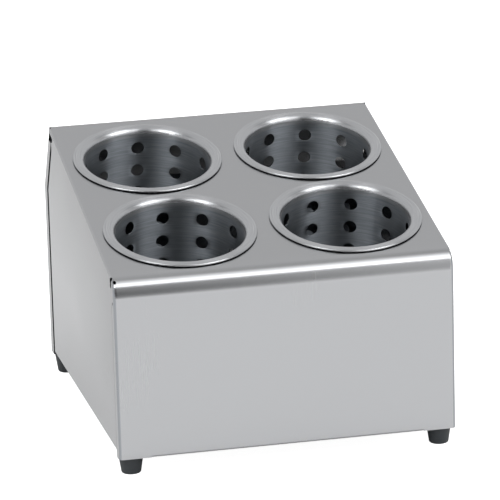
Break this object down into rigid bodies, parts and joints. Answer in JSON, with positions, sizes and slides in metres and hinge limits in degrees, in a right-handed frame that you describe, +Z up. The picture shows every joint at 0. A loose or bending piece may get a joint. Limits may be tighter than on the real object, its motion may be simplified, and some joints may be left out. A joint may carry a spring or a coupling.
{
  "type": "cutlery dispenser",
  "caption": "Free-standing sloped-top cutlery dispenser: folded steel housing on rubber feet, with tilted perforated steel cylinders that lift out.",
  "frame": {"origin": "on the table, under the middle of the overall box", "axes": "+Z up, -Y towards the low front panel, +X to the right seen from the front"},
  "size_m": [0.27, 0.301, 0.2177],
  "materials": {
    "housing_steel": "brushed",
    "rear_panel_steel": "brushed",
    "cylinder_steel": "brushed",
    "rivet_steel": "satin",
    "fastener_steel": "satin",
    "foot_rubber": "matte"
  },
  "bodies": {
    "housing": {"housing_cover": "housing_steel", "rear_panel": "rear_panel_steel", "rear_panel_rivets": "rivet_steel", "foot_front_left": "foot_rubber", "foot_front_right": "foot_rubber", "foot_rear_left": "foot_rubber", "foot_rear_right": "foot_rubber", "foot_screws": "fastener_steel", "foot_cup_washers": "fastener_steel", "foot_washers": "fastener_steel", "foot_nuts": "fastener_steel"},
    "cylinder_front_left": {"cutlery_cylinder_front_left": "cylinder_steel"},
    "cylinder_front_right": {"cutlery_cylinder_front_right": "cylinder_steel"},
    "cylinder_rear_left": {"cutlery_cylinder_rear_left": "cylinder_steel"},
    "cylinder_rear_right": {"cutlery_cylinder_rear_right": "cylinder_steel"}
  },
  "joints": [
    {"name": "lift_front_left", "type": "slide", "parent": "housing", "child": "cylinder_front_left", "axis": [0, -0.225, 0.9744], "range_m": [0, 0.16]},
    {"name": "lift_front_right", "type": "slide", "parent": "housing", "child": "cylinder_front_right", "axis": [0, -0.225, 0.9744], "range_m": [0, 0.16]},
    {"name": "lift_rear_left", "type": "slide", "parent": "housing", "child": "cylinder_rear_left", "axis": [0, -0.225, 0.9744], "range_m": [0, 0.16]},
    {"name": "lift_rear_right", "type": "slide", "parent": "housing", "child": "cylinder_rear_right", "axis": [0, -0.225, 0.9744], "range_m": [0, 0.16]}
  ]
}
